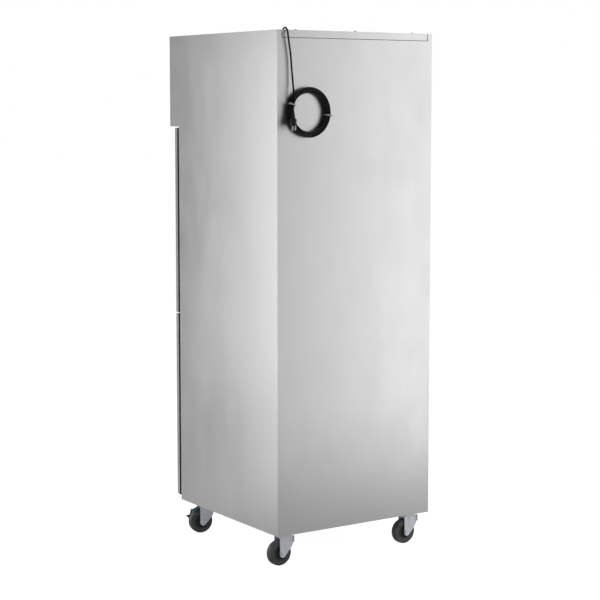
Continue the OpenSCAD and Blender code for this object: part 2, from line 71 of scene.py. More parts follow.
def add_mesh(name, verts, faces, smooth=40):
    """A new mesh object; smooth is the crease angle in degrees, or None for flat faces."""
    mesh = bpy.data.meshes.new(name)
    mesh.from_pydata([tuple(v) for v in verts], [], faces)
    mesh.update()
    obj = bpy.data.objects.new(name, mesh)
    bpy.context.scene.collection.objects.link(obj)
    tidy_normals(obj, smooth)
    return obj


def from_bmesh(name, bm, smooth=40):
    mesh = bpy.data.meshes.new(name)
    bm.to_mesh(mesh)
    bm.free()
    obj = bpy.data.objects.new(name, mesh)
    bpy.context.scene.collection.objects.link(obj)
    tidy_normals(obj, smooth)
    return obj


def tidy_normals(obj, smooth):
    bm = bmesh.new()
    bm.from_mesh(obj.data)
    bmesh.ops.recalc_face_normals(bm, faces=bm.faces)
    if smooth is not None:
        limit = math.radians(smooth)
        for face in bm.faces:
            face.smooth = True
        for edge in bm.edges:
            if len(edge.link_faces) == 2:
                edge.smooth = edge.calc_face_angle(0) < limit
    bm.to_mesh(obj.data)
    bm.free()
    if smooth is not None:
        even = obj.modifiers.new("even", "WEIGHTED_NORMAL")
        even.keep_sharp = True


def bevelled(bm, width, segments=3, pick=None):
    """Rounds the edges that pick accepts, or every sharp edge."""
    edges = [
        e for e in bm.edges
        if len(e.link_faces) == 2 and e.calc_face_angle(0) > 0.5
        and (pick is None or pick(e))
    ]
    bmesh.ops.bevel(
        bm, geom=edges, offset=width, segments=segments, profile=0.5, affect="EDGES"
    )
    return bm


def box_bmesh(low, high):
    bm = bmesh.new()
    size = Vector(high) - Vector(low)
    middle = (Vector(high) + Vector(low)) / 2
    bmesh.ops.create_cube(bm, size=1)
    for v in bm.verts:
        v.co = Vector((v.co.x * size.x, v.co.y * size.y, v.co.z * size.z)) + middle
    return bm


def rounded_box(name, low, high, radius, segments=3):
    return from_bmesh(name, bevelled(box_bmesh(low, high), radius, segments))


def lathe(name, profile, steps=64, smooth=35):
    """Turns a closed profile of (radius, height) points round Z. A radius of 0 makes a pole."""
    verts, faces, rows = [], [], []
    for radius, height in profile:
        if radius < 1e-7:
            rows.append([len(verts)] * steps)
            verts.append((0, 0, height))
            continue
        rows.append(list(range(len(verts), len(verts) + steps)))
        for k in range(steps):
            a = 2 * math.pi * k / steps
            verts.append((radius * math.cos(a), radius * math.sin(a), height))
    count = len(profile)
    for i in range(count):
        low, high = rows[i], rows[(i + 1) % count]
        for k in range(steps):
            n = (k + 1) % steps
            face = list(dict.fromkeys([low[k], low[n], high[n], high[k]]))
            if len(face) > 2:
                faces.append(face)
    return add_mesh(name, verts, faces, smooth)


def prism(name, outline, depth, bevel=0.0, segments=2, smooth=40):
    """An outline of (x, z) points made depth thick along Y, centred, with rounded edges."""
    bm = bmesh.new()
    front = [bm.verts.new((x, -depth / 2, z)) for x, z in outline]
    face = bm.faces.new(front)
    out = bmesh.ops.extrude_face_region(bm, geom=[face])
    moved = [g for g in out["geom"] if isinstance(g, bmesh.types.BMVert)]
    bmesh.ops.translate(bm, verts=moved, vec=(0, depth, 0))
    bmesh.ops.recalc_face_normals(bm, faces=bm.faces)
    if bevel:
        rims = [
            e for e in bm.edges
            if len(e.link_faces) == 2 and abs(e.verts[0].co.y - e.verts[1].co.y) < 1e-9
        ]
        bmesh.ops.bevel(
            bm, geom=rims, offset=bevel, segments=segments, profile=0.5, affect="EDGES"
        )
    return from_bmesh(name, bm, smooth)


def arc(cx, cz, radius, start, end, steps):
    """Points on a circle in the (x, z) plane, angles in degrees."""
    return [
        (cx + radius * math.cos(math.radians(start + (end - start) * i / steps)),
         cz + radius * math.sin(math.radians(start + (end - start) * i / steps)))
        for i in range(steps + 1)
    ]


def rounded_rect(width, height, radius, steps=6):
    """A closed outline of (x, z) points round the origin."""
    x, z = width / 2 - radius, height / 2 - radius
    return (
        arc(x, z, radius, 0, 90, steps) + arc(-x, z, radius, 90, 180, steps)
        + arc(-x, -z, radius, 180, 270, steps) + arc(x, -z, radius, 270, 360, steps)
    )


def smooth_path(points, steps):
    """A Catmull-Rom curve through the points, with steps pieces between each pair."""
    p = [Vector(q) for q in points]
    p = [2 * p[0] - p[1], *p, 2 * p[-1] - p[-2]]
    out = []
    for i in range(1, len(p) - 2):
        a, b, c, d = p[i - 1:i + 3]
        for k in range(steps):
            t = k / steps
            out.append(0.5 * (
                2 * b + (c - a) * t + (2 * a - 5 * b + 4 * c - d) * t * t
                + (3 * b - a - 3 * c + d) * t ** 3
            ))
    out.append(p[-2])
    return out


def tube(name, points, radius, sides=12, closed=False, smooth=60):
    """A round tube along the points, turned as little as possible from ring to ring."""
    points = [Vector(q) for q in points]
    count = len(points)
    verts, faces = [], []
    normal = None
    for i, p in enumerate(points):
        ahead = points[(i + 1) % count] if closed else points[min(i + 1, count - 1)]
        behind = points[i - 1] if closed else points[max(i - 1, 0)]
        t = (ahead - behind).normalized()
        if normal is None:
            normal = t.orthogonal().normalized()
        normal = (normal - t * normal.dot(t)).normalized()
        across = t.cross(normal)
        for k in range(sides):
            a = 2 * math.pi * k / sides
            verts.append(p + radius * (normal * math.cos(a) + across * math.sin(a)))
    for i in range(count if closed else count - 1):
        j = (i + 1) % count
        for k in range(sides):
            n = (k + 1) % sides
            faces.append([i * sides + k, i * sides + n, j * sides + n, j * sides + k])
    if not closed:
        faces.append(list(range(sides))[::-1])
        faces.append([(count - 1) * sides + k for k in range(sides)])
    return add_mesh(name, verts, faces, smooth)


def frame_sweep(name, low, high, y, profile, smooth=40):
    """A mitred picture frame: profile points are (inwards, towards +Y) from the outer edge."""
    verts, faces = [], []
    sides = len(profile)
    for sx, sz in ((-1, -1), (1, -1), (1, 1), (-1, 1)):
        x = high.x if sx > 0 else low.x
        z = high.z if sz > 0 else low.z
        for inward, back in profile:
            verts.append((x - sx * inward, y + back, z - sz * inward))
    for i in range(4):
        j = (i + 1) % 4
        for k in range(sides):
            n = (k + 1) % sides
            faces.append([i * sides + k, i * sides + n, j * sides + n, j * sides + k])
    return add_mesh(name, verts, faces, smooth)


def join(name, parts):
    """One object from several, under a new name."""
    bpy.ops.object.select_all(action="DESELECT")
    for part in parts:
        part.select_set(True)
    bpy.context.view_layer.objects.active = parts[0]
    bpy.ops.object.join()
    parts[0].name = name
    return parts[0]


def place(obj, matrix):
    """Moves the mesh itself, so that the object stays at the origin of the frame."""
    obj.data.transform(matrix)
    obj.data.update()
    return obj


def along_y(x, z, y=0.0):
    """A matrix that lays a piece turned round Z along +Y at (x, z)."""
    return Matrix.Translation((x, y, z)) @ Matrix.Rotation(math.radians(-90), 4, "X")


def finish_piece(obj, body, material, slot, *nodes):
    """Gives a piece its body and material, and hides the CAD nodes it stands for. The slot argument is
    not used.
    """
    obj.data.materials.clear()
    obj.data.materials.append(material)
    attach(obj, body)
    if nodes:
        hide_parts(*nodes)
    return obj


# ---- materials ----

class Shader:
    """A Principled material with short helpers for procedural detail."""

    def __init__(self, name, color, roughness, metallic=0.0):
        self.material = bpy.data.materials.new(name)
        self.material.use_nodes = True
        self.tree = self.material.node_tree
        self.bsdf = self.tree.nodes["Principled BSDF"]
        self.bsdf.inputs["Base Color"].default_value = (*color, 1)
        self.bsdf.inputs["Roughness"].default_value = roughness
        self.bsdf.inputs["Metallic"].default_value = metallic
        self.coords = self.tree.nodes.new("ShaderNodeTexCoord").outputs["Object"]
        self.height = None

    def node(self, kind, **values):
        made = self.tree.nodes.new(kind)
        for key, value in values.items():
            if key in made.inputs:
                made.inputs[key].default_value = value
            else:
                setattr(made, key, value)
        return made

    def link(self, a, b):
        self.tree.links.new(a, b)

    def noise(self, scale, stretch=(1, 1, 1), detail=4.0, rough=0.55):
        """Noise on the frame's own coordinates, drawn out along an axis by stretch."""
        mapping = self.node("ShaderNodeMapping")
        mapping.inputs["Scale"].default_value = stretch
        self.link(self.coords, mapping.inputs["Vector"])
        made = self.node("ShaderNodeTexNoise", Scale=scale, Detail=detail, Roughness=rough)
        self.link(mapping.outputs["Vector"], made.inputs["Vector"])
        return made.outputs["Fac"]

    def range(self, value, low, high, out_low, out_high):
        made = self.node("ShaderNodeMapRange")
        for key, number in zip(
            ("From Min", "From Max", "To Min", "To Max"), (low, high, out_low, out_high)
        ):
            made.inputs[key].default_value = number
        self.link(value, made.inputs["Value"])
        return made.outputs["Result"]

    def mix(self, factor, dark, light):
        """Mixes two colours by factor into the base colour."""
        made = self.node("ShaderNodeMix", data_type="RGBA")
        made.inputs[6].default_value = (*dark, 1)
        made.inputs[7].default_value = (*light, 1)
        self.link(factor, made.inputs[0])
        self.link(made.outputs[2], self.bsdf.inputs["Base Color"])
        return made.outputs[2]

    def add(self, a, b):
        made = self.node("ShaderNodeMath", operation="ADD")
        self.link(a, made.inputs[0])
        self.link(b, made.inputs[1])
        return made.outputs[0]

    def roughness(self, value):
        self.link(value, self.bsdf.inputs["Roughness"])

    def bump(self, value, distance, strength=1.0):
        made = self.node("ShaderNodeBump", Strength=strength, Distance=distance)
        self.link(value, made.inputs["Height"])
        self.link(made.outputs["Normal"], self.bsdf.inputs["Normal"])
        return made

    def set(self, name, value):
        self.bsdf.inputs[name].default_value = value


def brushed_steel(name, color, rough, grain, streak=0.03):
    """Stainless sheet: grain stretches the brush lines, cloudy wear shifts the roughness."""
    s = Shader(name, color, rough, 1.0)
    lines = s.noise(1.0, grain, 3.0, 0.6)
    clouds = s.noise(2.2, (1, 1, 0.5), 3.0, 0.5)
    smudges = s.noise(9.0, (1, 1, 0.6), 4.0, 0.6)
    dark = tuple(c * (1 - streak) for c in color)
    light = tuple(min(1, c * (1 + streak)) for c in color)
    s.mix(s.add(s.range(lines, 0.3, 0.7, 0, 0.6), s.range(clouds, 0.35, 0.65, 0, 0.4)), dark, light)
    wear = s.add(s.range(clouds, 0.3, 0.7, -0.02, 0.03), s.range(smudges, 0.4, 0.7, -0.01, 0.03))
    s.roughness(s.add(s.range(lines, 0.3, 0.7, rough - 0.03, rough + 0.03), wear))
    s.bump(lines, 0.00004, 0.35)
    return s.material


def zinc_plate(name, color):
    """Blue-passivated zinc: faint cloudy spangle, satin, with handling marks."""
    s = Shader(name, color, 0.36, 0.35)
    clouds = s.noise(60.0, detail=5.0)
    marks = s.noise(260.0, detail=2.0)
    s.mix(s.range(clouds, 0.35, 0.65, 0, 1), tuple(c * 0.95 for c in color),
          tuple(min(1, c * 1.04) for c in color))
    s.roughness(s.add(s.range(clouds, 0.3, 0.7, 0.3, 0.38), s.range(marks, 0.4, 0.6, 0, 0.05)))
    s.bump(marks, 0.00002, 0.3)
    return s.material


def moulded(name, color, rough, grain=900.0, wear=0.0, gloss=0.5):
    """Moulded plastic with a fine leathery grain and slightly shinier worn patches."""
    s = Shader(name, color, rough)
    s.set("Specular IOR Level", gloss)
    fine = s.noise(grain, detail=2.0)
    patches = s.noise(18.0, detail=4.0)
    s.mix(s.range(patches, 0.35, 0.7, 0, 1), color, tuple(min(1, c * 1.35 + wear) for c in color))
    s.roughness(s.add(s.range(fine, 0.3, 0.7, rough - 0.05, rough + 0.05),
                      s.range(patches, 0.3, 0.7, 0.03, -0.05)))
    s.bump(fine, 0.00006, 0.5)
    return s.material


def rubber(name, color, dust):
    """Wheel rubber: dusty patches, fine grit in the surface."""
    s = Shader(name, color, 0.6)
    patches = s.noise(38.0, detail=6.0, rough=0.65)
    grit = s.noise(1400.0, detail=1.0)
    s.mix(s.range(patches, 0.38, 0.68, 0, 1), color, dust)
    s.roughness(s.range(patches, 0.3, 0.7, 0.5, 0.72))
    s.bump(grit, 0.00008, 0.5)
    return s.material


def lead_sheath(name):
    """Black PVC: soft sheen with faint lengthwise drag marks."""
    s = Shader(name, (0.005, 0.005, 0.005), 0.3)
    s.set("Specular IOR Level", 0.22)
    drag = s.noise(240.0, (1, 1, 0.2), 3.0)
    s.mix(s.range(drag, 0.35, 0.65, 0, 1), (0.003, 0.003, 0.003), (0.009, 0.009, 0.009))
    s.roughness(s.range(drag, 0.3, 0.7, 0.16, 0.28))
    s.bump(drag, 0.00003, 0.4)
    return s.material


def nylon(name, color):
    s = Shader(name, color, 0.4)
    cloud = s.noise(300.0, detail=3.0)
    s.mix(s.range(cloud, 0.35, 0.65, 0, 1), tuple(c * 0.9 for c in color), color)
    s.roughness(s.range(cloud, 0.3, 0.7, 0.35, 0.48))
    s.set("Subsurface Weight", 0.1)
    s.bump(cloud, 0.00003, 0.3)
    return s.material


def foam(name):
    """Cut polyurethane foam: small open cells and an uneven yellow-buff tone."""
    s = Shader(name, (0.78, 0.66, 0.38), 0.9)
    cells = s.node("ShaderNodeTexVoronoi", Scale=700.0)
    s.link(s.coords, cells.inputs["Vector"])
    tone = s.noise(14.0, detail=5.0)
    s.mix(s.range(tone, 0.3, 0.7, 0, 1), (0.7, 0.57, 0.3), (0.84, 0.74, 0.48))
    s.roughness(s.range(tone, 0.3, 0.7, 0.85, 0.95))
    s.bump(cells.outputs["Distance"], 0.0004, 0.6)
    return s.material


def polished(name, color, rough):
    """Bright metal with hair scratches."""
    s = Shader(name, color, rough, 1.0)
    scratches = s.noise(1.0, (900, 900, 60), 3.0)
    s.mix(s.range(scratches, 0.35, 0.65, 0, 1), tuple(c * 0.94 for c in color), color)
    s.roughness(s.range(scratches, 0.3, 0.7, rough * 0.8, rough * 1.5))
    s.bump(scratches, 0.00001, 0.2)
    return s.material


def window(name, color, rough, coat=0.0):
    """Smooth dark window or lens with faint wiping marks."""
    s = Shader(name, color, rough)
    wipe = s.noise(40.0, (1, 1, 4), 4.0)
    s.mix(s.range(wipe, 0.35, 0.7, 0, 1), color, tuple(min(1, c * 1.2 + 0.004) for c in color))
    s.roughness(s.range(wipe, 0.35, 0.75, rough, rough + 0.12))
    s.set("Coat Weight", coat)
    return s.material


UPRIGHT = (420, 420, 7)
LEVEL = (7, 420, 420)
STEEL = (0.60, 0.60, 0.60)
steel_side = brushed_steel("steel_side", STEEL, 0.36, UPRIGHT)
steel_door = brushed_steel("steel_door", STEEL, 0.34, UPRIGHT)
steel_frame = brushed_steel("steel_frame", (0.56, 0.56, 0.56), 0.34, UPRIGHT, 0.05)
steel_liner = brushed_steel("steel_liner", (0.58, 0.58, 0.58), 0.30, LEVEL, 0.05)
steel_dull = brushed_steel("steel_dull", (0.45, 0.46, 0.47), 0.45, (90, 90, 90), 0.1)
zinc = zinc_plate("zinc", (0.84, 0.88, 0.93))
zinc_blue = zinc_plate("zinc_blue", (0.13, 0.25, 0.34))
# near-black zinc for the ball races and king pins: painted shade for the dark gap under each caster's
# top plate
race_painted_shade = zinc_plate("race_painted_shade", (0.05, 0.07, 0.1))
handle_metal = polished("handle_metal", (0.66, 0.66, 0.67), 0.18)
blade_metal = polished("blade_metal", (0.86, 0.85, 0.82), 0.12)
screw_metal = polished("screw_metal", (0.6, 0.6, 0.61), 0.25)
screw_dark = polished("screw_dark", (0.16, 0.16, 0.16), 0.35)
heater_metal = brushed_steel("heater_metal", (0.2, 0.19, 0.18), 0.5, (80, 80, 80), 0.25)
black_plastic = moulded("black_plastic", (0.012, 0.012, 0.013), 0.5)
# near-black, low-gloss plastic of the doors' inner band and end caps; it also colours the strip in the
# cover seam, which is painted shade there
black_band_and_seam_shade = moulded("black_band_and_seam_shade", (0.004, 0.004, 0.004), 0.6, gloss=0.08)
knob_plastic = moulded("knob_plastic", (0.022, 0.022, 0.024), 0.42, 1200.0)
gasket_rubber = moulded("gasket_rubber", (0.0015, 0.0015, 0.0015), 0.75, 700.0, gloss=0.03)
tyre_rubber = rubber("tyre_rubber", (0.06, 0.06, 0.062), (0.14, 0.138, 0.134))
hub_plastic = moulded("hub_plastic", (0.03, 0.03, 0.032), 0.5, 800.0, 0.01)
lever_plastic = moulded("lever_plastic", (0.012, 0.012, 0.014), 0.45)
sheath = lead_sheath("sheath")
plug_plastic = moulded("plug_plastic", (0.006, 0.006, 0.006), 0.32, 1600.0)
tie_nylon = nylon("tie_nylon", (0.55, 0.56, 0.57))
foam_core = foam("foam_core")
motor_paint = moulded("motor_paint", (0.04, 0.04, 0.045), 0.4, 500.0)
glass_dark = window("glass_dark", (0.01, 0.01, 0.013), 0.06, 0.5)
lens_amber = window("lens_amber", (0.8, 0.25, 0.02), 0.1, 0.6)
switch_gloss = moulded("switch_gloss", (0.02, 0.02, 0.021), 0.28, 1500.0)

CAD_LOOKS = {
    steel_side: ["side_panel_right", "side_panel_left", "rear_panel", "top_cover",
                 "control_fascia", "head_deck"],
    steel_frame: ["door_jambs", "frame_rails", "rack_uprights", "hinge_leaves"],
    steel_liner: ["liner_walls", "liner_ceiling", "liner_floor", "air_baffle",
                  "tray_slides", "water_pan"],
    steel_dull: ["base_pan", "control_box", "fan_wheel"],
    heater_metal: ["heater_coil"],
    foam_core: ["insulation", "upper_door_core", "lower_door_core"],
    motor_paint: ["fan_motor"],
}


def dress_cad_nodes():
    for material, names in CAD_LOOKS.items():
        for name in names:
            node = NODES[name]
            node.data.materials.clear()
            node.data.materials.append(material)
            ease = node.modifiers.new("edges", "BEVEL")
            ease.width = 0.5 * MM
            ease.segments = 2
            ease.limit_method = "ANGLE"
            ease.angle_limit = math.radians(50)
            ease.harden_normals = True


# ---- camera ----

def make_camera():
    """Stands behind the cabinet's right rear corner, a little above its middle."""
    data = bpy.data.cameras.new("camera")
    data.sensor_width = 36
    data.lens = 100.31
    data.shift_y = -0.04
    data.clip_end = 100
    cam = bpy.data.objects.new("camera", data)
    cam.location = (3.8064, 5.7598, 1.7985)
    yaw, pitch = math.radians(33.606), math.radians(5.862)
    ahead = Vector((
        -math.sin(yaw) * math.cos(pitch), -math.cos(yaw) * math.cos(pitch), -math.sin(pitch)
    ))
    cam.rotation_mode = "QUATERNION"
    cam.rotation_quaternion = ahead.to_track_quat("-Z", "Y")
    bpy.context.scene.collection.objects.link(cam)
    bpy.context.scene.camera = cam


# ---- mains lead ----

CORD_D = 7 * MM
COIL_TURNS = 6
COIL_R = 85 * MM
coil_low, coil_high = corners("cord_coil")
COIL_C = (coil_low + coil_high) / 2
ROUTE = [
    (320, 396, 2080), (321, 402, 2084), (322, 411, 2087), (324, 421, 2087),
    (326, 430, 2084), (327, 437, 2078), (328, 442, 2070), (328, 444, 2058),
    (325, 444, 2040), (321, 444, 2015), (317, 444, 1990), (314, 444, 1960),
    (312, 445, 1930), (310, 447, 1900), (309, 450, 1870), (309, 454, 1845),
    (309, 457, 1825), (308, 457, 1810),
]
TAIL = [(314, 459, 1800), (318, 464, 1785), (319, 467, 1768)]
# Where each turn lies in the bundle: outwards and towards the rear, in mm
STRANDS = [(-8, 4.5), (-8, -4.5), (0, -4.5), (8, -4.5), (8, 4.5), (0, 4.5)]
START_ANGLE = 8.0
END_ANGLE = 52.0


def coil_points():
    """The turns run down the right side first; each eases into the next one's place."""
    points = []
    step = 9.0
    total = START_ANGLE + 360 * COIL_TURNS - END_ANGLE
    count = int(total / step)
    for i in range(count + 1):
        turned = total * i / count
        angle = math.radians(START_ANGLE - turned)
        turn = turned / 360
        index = min(int(turn), COIL_TURNS - 1)
        here = Vector(STRANDS[index])
        after = Vector(STRANDS[min(index + 1, COIL_TURNS - 1)])
        switch = 0.55 + 0.06 * index
        ease = min(1, max(0, (turn - index - switch) / 0.3))
        ease = ease * ease * (3 - 2 * ease)
        slot = here.lerp(after, ease)
        sway = noise.noise_vector(Vector((turn * 2.3, index * 5.1, 0.7)))
        out = COIL_R + (slot.x + 0.8 * sway.x) * MM
        back = (slot.y + 0.5 * sway.y) * MM
        points.append(
            COIL_C + Vector((out * math.cos(angle), back, out * math.sin(angle)))
        )
    return points


def lead_path():
    first = [Vector(p) * MM for p in ROUTE]
    last = [Vector(p) * MM for p in TAIL]
    turns = coil_points()
    entry = smooth_path(first + turns[:2], 5)[:-5]
    leave = smooth_path(turns[-2:] + last, 5)[6:]
    return entry + turns[1:-1] + leave


def strap_section():
    return [(-2.2, 0), (-1.9, 0.9), (1.9, 0.9), (2.2, 0)]


def cable_tie(name, angle, front):
    """A strap round the bundle, reaching front further over what lies on it, and its head."""
    outline = []
    half_out, half_back = 12.2, 9.2
    corner = 8.5
    for cx, cz, start in ((1, 1, 0), (-1, 1, 90), (-1, -1, 180), (1, -1, 270)):
        reach = half_back + (front if cz > 0 else 0)
        for x, z in arc(cx * (half_out - corner), cz * (reach - corner), corner,
                        start, start + 90, 5):
            outline.append((x, z))
    section = strap_section()
    verts, faces = [], []
    count, sides = len(outline), len(section)
    for i, (x, z) in enumerate(outline):
        ahead = Vector(outline[(i + 1) % count]) - Vector(outline[i - 1])
        out = Vector((ahead.y, -ahead.x)).normalized()
        for width, thick in section:
            p = Vector((x, z)) + out * thick
            verts.append((p.x, p.y, width))
    for i in range(count):
        j = (i + 1) % count
        for k in range(sides):
            n = (k + 1) % sides
            faces.append([i * sides + k, i * sides + n, j * sides + n, j * sides + k])
    strap = add_mesh("strap", verts, faces, 50)
    head = rounded_box("head", (half_out - 1.5, half_back + front - 5, -3.2),
                       (half_out + 3.2, half_back + front + 1.5, 3.2), 0.7)
    tail = rounded_box("tail", (half_out + 2, half_back + front - 3, -2),
                       (half_out + 9, half_back + front - 2, 2), 0.4)
    tie = join(name, [strap, head, tail])
    spin = Matrix.Rotation(-math.radians(angle), 4, "Y")
    place(tie, Matrix.Translation(COIL_C) @ spin
          @ Matrix.Translation((COIL_R, 0, 0)) @ Matrix.Scale(MM, 4))
    return tie


def make_plug():
    """Moulded round plug with a flange, a waisted grip and a ribbed strain relief."""
    low, high = corners("plug_body")
    centre = (low + high) / 2
    profile = [(0, 0), (12.4, 0), (13, 0.6), (13, 5), (12.5, 6.2), (11.9, 8), (11.5, 13),
               (11.7, 19), (12, 23), (11.2, 25.6), (9.4, 26.8), (7.6, 27.4)]
    for i in range(5):
        z = 28.2 + i * 4.2
        r = 7.3 - i * 0.62
        profile += [(r, z), (r, z + 2.4), (r - 1.1, z + 2.9), (r - 1.2, z + 3.8)]
    profile += [(4.3, 50), (0, 50)]
    body = lathe("plug", profile, 48)
    ribs = []
    for side in (-1, 1):
        for i in range(4):
            rib = rounded_box("rib", (side * 11.6 - 0.9, -5, 10 + i * 3),
                              (side * 11.6 + 0.9, 5, 11.4 + i * 3), 0.5, 2)
            ribs.append(rib)
    plug = join("plug", [body, *ribs])
    place(plug, Matrix.Translation((centre.x, centre.y, low.z)) @ Matrix.Scale(MM, 4))
    finish_piece(plug, "root", plug_plastic, "cord_pvc", "plug_body")

    blades = []
    for side in (-1, 1):
        outline = [(-3.15, 0), (3.15, 0), (3.15, -15), (2.1, -17), (-2.1, -17), (-3.15, -15)]
        hole = arc(0, -13, 1.6, 0, 360, 16)[:-1]
        blade = prism("blade", outline, 1.5, 0.25)
        dimple = prism("dimple", hole, 1.62, 0.0)
        for part in (blade, dimple):
            place(part, Matrix.Translation((side * 6.35, 3, 0))
                  @ Matrix.Rotation(math.radians(90), 4, "Z"))
            blades.append(part)
    pin = lathe("pin", [(0, 0), (2.4, 0), (2.4, -18), (1.5, -19.6), (0, -20)], 24)
    place(pin, Matrix.Translation((0, 3 - 11.9, 0)))
    blades = join("plug_contacts", [*blades, pin])
    place(blades, Matrix.Translation((centre.x, centre.y, low.z)) @ Matrix.Scale(MM, 4))
    finish_piece(blades, "root", blade_metal, "chrome", "plug_blades")
    return plug, blades


def make_lead():
    path = lead_path()
    data = bpy.data.curves.new("mains_lead", "CURVE")
    data.dimensions = "3D"
    data.bevel_depth = CORD_D / 2
    data.bevel_resolution = 5
    data.use_fill_caps = True
    spline = data.splines.new("POLY")
    spline.points.add(len(path) - 1)
    for point, place_at in zip(spline.points, path):
        point.co = (*place_at, 1)
    spline.use_smooth = True
    lead = bpy.data.objects.new("mains_lead", data)
    bpy.context.scene.collection.objects.link(lead)
    data.materials.append(sheath)
    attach(lead, "root")
    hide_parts("cord_tube", "cord_coil", "cord_tail")

    plug, blades = make_plug()
    ties = join("lead_ties", [cable_tie("tie_near", 20, 8.5), cable_tie("tie_far", 187, 0)])
    finish_piece(ties, "root", tie_nylon, "tie_nylon", "cord_ties")
    gland = make_gland()
    return gland


def make_gland():
    """Snap-in strain relief: a domed flange above the cover and a split taper below it."""
    low, high = corners("cord_gland")
    x, y = (low.x + high.x) / 2, (low.y + high.y) / 2
    profile = [(3.7, 2.0), (5.5, 2.0), (8.6, 1.5), (9.8, 0.7), (10, 0), (7, 0), (7, -3),
               (6.6, -4), (6.9, -5.5), (5.9, -14), (6.2, -15.5), (5.2, -24), (5.5, -25.5),
               (4.6, -33), (3.7, -33)]
    gland = lathe("lead_gland", profile, 40)
    place(gland, Matrix.Translation((x, y, TOP_Z)) @ Matrix.Scale(MM, 4))
    return finish_piece(gland, "root", black_plastic, "black_plastic", "cord_gland")


# ---- casters ----

WHEEL_R = 50
TRAIL = 22
LEG_Y = 19
LEG_T = 3
PIVOT = (23, 107.3)
CASTERS = {
    "rear_right": (1, 0), "rear_left": (1, 0), "front_right": (1, -10), "front_left": (-1, 190)
}


def caster_matrix(name):
    """From a caster's own millimetres, swivel axis at the origin, to the frame."""
    joint = next(j for j in frame["joints"] if j["child"] == name + "_swivel")
    x, y = joint["pos_m"][:2]
    turn = Matrix.Rotation(math.radians(CASTERS[name][1]), 4, "Z")
    return Matrix.Translation((x, y, 0)) @ turn @ Matrix.Scale(MM, 4)


def leg_outline():
    toe_x, toe_z, toe_r = TRAIL - 6, WHEEL_R - 4, 13.5
    points = [(toe_x + toe_r, 116), (toe_x + toe_r, toe_z)]
    points += arc(toe_x, toe_z, toe_r, 0, -138, 14)[1:]
    points += [(-26, 74), (-32, 90), (-32, 116)]
    return points


def hexagon(name, across, height):
    """A chamfered hexagonal head lying on z = 0."""
    bm = bmesh.new()
    bmesh.ops.create_cone(bm, cap_ends=True, segments=6, radius1=across, radius2=across, depth=height)
    bmesh.ops.translate(bm, verts=bm.verts, vec=(0, 0, height / 2))
    rim = [e for e in bm.edges if all(v.co.z > height * 0.9 for v in e.verts)]
    bmesh.ops.bevel(bm, geom=rim, offset=height * 0.18, segments=2, profile=0.5, affect="EDGES")
    return from_bmesh(name, bm, 30)


def make_fork(name, braked):
    parts = []
    for side in (-1, 1):
        leg = prism("leg", leg_outline(), LEG_T, 0.8, 3)
        place(leg, Matrix.Translation((0, side * (LEG_Y + LEG_T / 2), 0)))
        lip = rounded_box("lip", (-33, -1, 90), (-30.4, 8, 117), 1.2)
        place(lip, Matrix.Translation((0, side * (LEG_Y + LEG_T - 1), 0))
              @ Matrix.Scale(side, 4, (0, 1, 0)))
        rib = prism("rib", rounded_rect(9, 52, 4.4), 1.6, 0.7, 3)
        place(rib, Matrix.Translation((2, side * (LEG_Y + LEG_T + 0.4), 88)))
        washer = lathe("washer", [(5.2, 0), (9.5, 0), (9.5, 1.2), (9.1, 1.5), (5.2, 1.5)], 32)
        nut = hexagon("nut", 7.6, 5)
        end = lathe("end", [(0, 0), (4.9, 0), (4.9, 7), (4.2, 7.8), (0, 7.8)], 24)
        for part in (washer, nut, end):
            lay = along_y(TRAIL, WHEEL_R)
            flip = Matrix.Rotation(math.radians(180 if side < 0 else 0), 4, "X")
            place(part, Matrix.Translation((0, side * (LEG_Y + LEG_T), 0)) @ lay @ flip)
        place(nut, Matrix.Translation((0, side * 1.2, 0)))
        parts += [leg, lip, rib, washer, nut, end]
    span = 20 if braked else 29
    crown = rounded_box("crown", (-25, -LEG_Y - LEG_T, 112.5), (span, LEG_Y + LEG_T, 118), 2.2, 4)
    cup = lathe("cup", [(25, 118), (25.3, 121.4), (26.5, 122), (28.8, 121.8), (30.6, 120.6),
                        (31, 118.6), (30.2, 116), (28, 114.4), (25.5, 114.2)], 56)
    axle = lathe("axle", [(0, -LEG_Y), (5, -LEG_Y), (5, LEG_Y), (0, LEG_Y)], 24)
    place(axle, along_y(TRAIL, WHEEL_R))
    parts += [crown, cup, axle]
    if braked:
        pin = lathe("pin", [(0, -21), (3, -21), (3, 21), (0, 21)], 20)
        place(pin, along_y(*PIVOT))
        parts.append(pin)
    fork = join(name + "_yoke", parts)
    place(fork, caster_matrix(name))
    finish_piece(fork, name + "_swivel", zinc, "zinc", name + "_fork")


